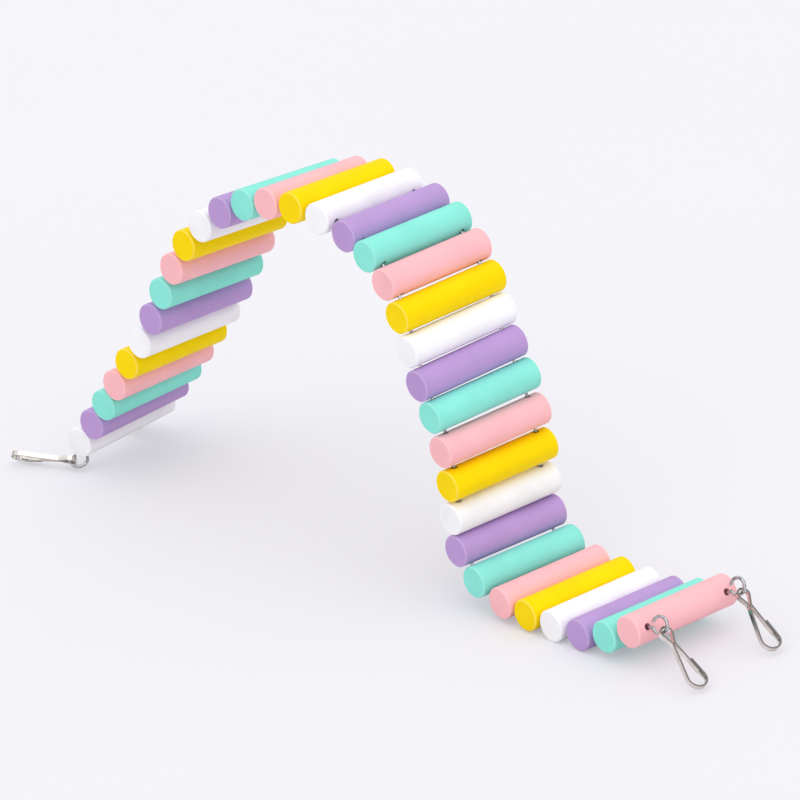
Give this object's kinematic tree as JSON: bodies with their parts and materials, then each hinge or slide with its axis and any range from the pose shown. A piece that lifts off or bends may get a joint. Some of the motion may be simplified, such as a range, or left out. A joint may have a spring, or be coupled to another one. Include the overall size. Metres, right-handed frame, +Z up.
{
  "type": "ladder bridge for small pets",
  "caption": "Flexible ladder bridge for hamsters: round painted wooden rungs on two bent steel wires, with swinging spring hooks at both ends, shown bent in an arch.",
  "frame": {"origin": "on the floor under the middle of the whole part", "axes": "+X along the run towards the right foot, +Y along the rungs to the far side, +Z up"},
  "size_m": [0.4508, 0.0848, 0.1783],
  "materials": {
    "paint_pink": "satin pink paint",
    "paint_teal": "satin teal paint",
    "paint_purple": "satin purple paint",
    "paint_white": "satin white paint",
    "paint_yellow": "satin yellow paint",
    "wire_steel": "bare drawn wire",
    "hook_plating": "bright nickel plating"
  },
  "bodies": {
    "bridge": {"rung_01": "paint_white", "rung_02": "paint_purple", "rung_03": "paint_teal", "rung_04": "paint_pink", "rung_05": "paint_yellow", "rung_06": "paint_white", "rung_07": "paint_purple", "rung_08": "paint_teal", "rung_09": "paint_pink", "rung_10": "paint_yellow", "rung_11": "paint_white", "rung_12": "paint_purple", "rung_13": "paint_teal", "rung_14": "paint_pink", "rung_15": "paint_yellow", "rung_16": "paint_white", "rung_17": "paint_purple", "rung_18": "paint_teal", "rung_19": "paint_pink", "rung_20": "paint_yellow", "rung_21": "paint_white", "rung_22": "paint_purple", "rung_23": "paint_teal", "rung_24": "paint_pink", "rung_25": "paint_yellow", "rung_26": "paint_white", "rung_27": "paint_purple", "rung_28": "paint_teal", "rung_29": "paint_pink", "rung_30": "paint_yellow", "rung_31": "paint_white", "rung_32": "paint_purple", "rung_33": "paint_teal", "rung_34": "paint_pink", "wire_near": "wire_steel", "wire_far": "wire_steel"},
    "hook_right_near": {"hook_right_near": "hook_plating"},
    "hook_right_far": {"hook_right_far": "hook_plating"},
    "hook_left_near": {"hook_left_near": "hook_plating"},
    "hook_left_far": {"hook_left_far": "hook_plating"}
  },
  "joints": [
    {"name": "swing_right_near", "type": "hinge", "parent": "bridge", "child": "hook_right_near", "pos_m": [0.19959, -0.0133, 0.02064], "axis": [0.5863, 0.3444, 0.7332], "range_deg": [-75, 75]},
    {"name": "swing_right_far", "type": "hinge", "parent": "bridge", "child": "hook_right_far", "pos_m": [0.20015, 0.03501, 0.02101], "axis": [0.6141, 0.2919, 0.7332], "range_deg": [-75, 75]},
    {"name": "swing_left_near", "type": "hinge", "parent": "bridge", "child": "hook_left_near", "pos_m": [-0.18447, -0.02587, 0.00475], "axis": [-0.4009, 0.7867, 0.4695], "range_deg": [-75, 75]},
    {"name": "swing_left_far", "type": "hinge", "parent": "bridge", "child": "hook_left_far", "pos_m": [-0.19467, 0.02342, 0.00509], "axis": [0.1533, 0.8695, 0.4695], "range_deg": [-75, 75]}
  ]
}
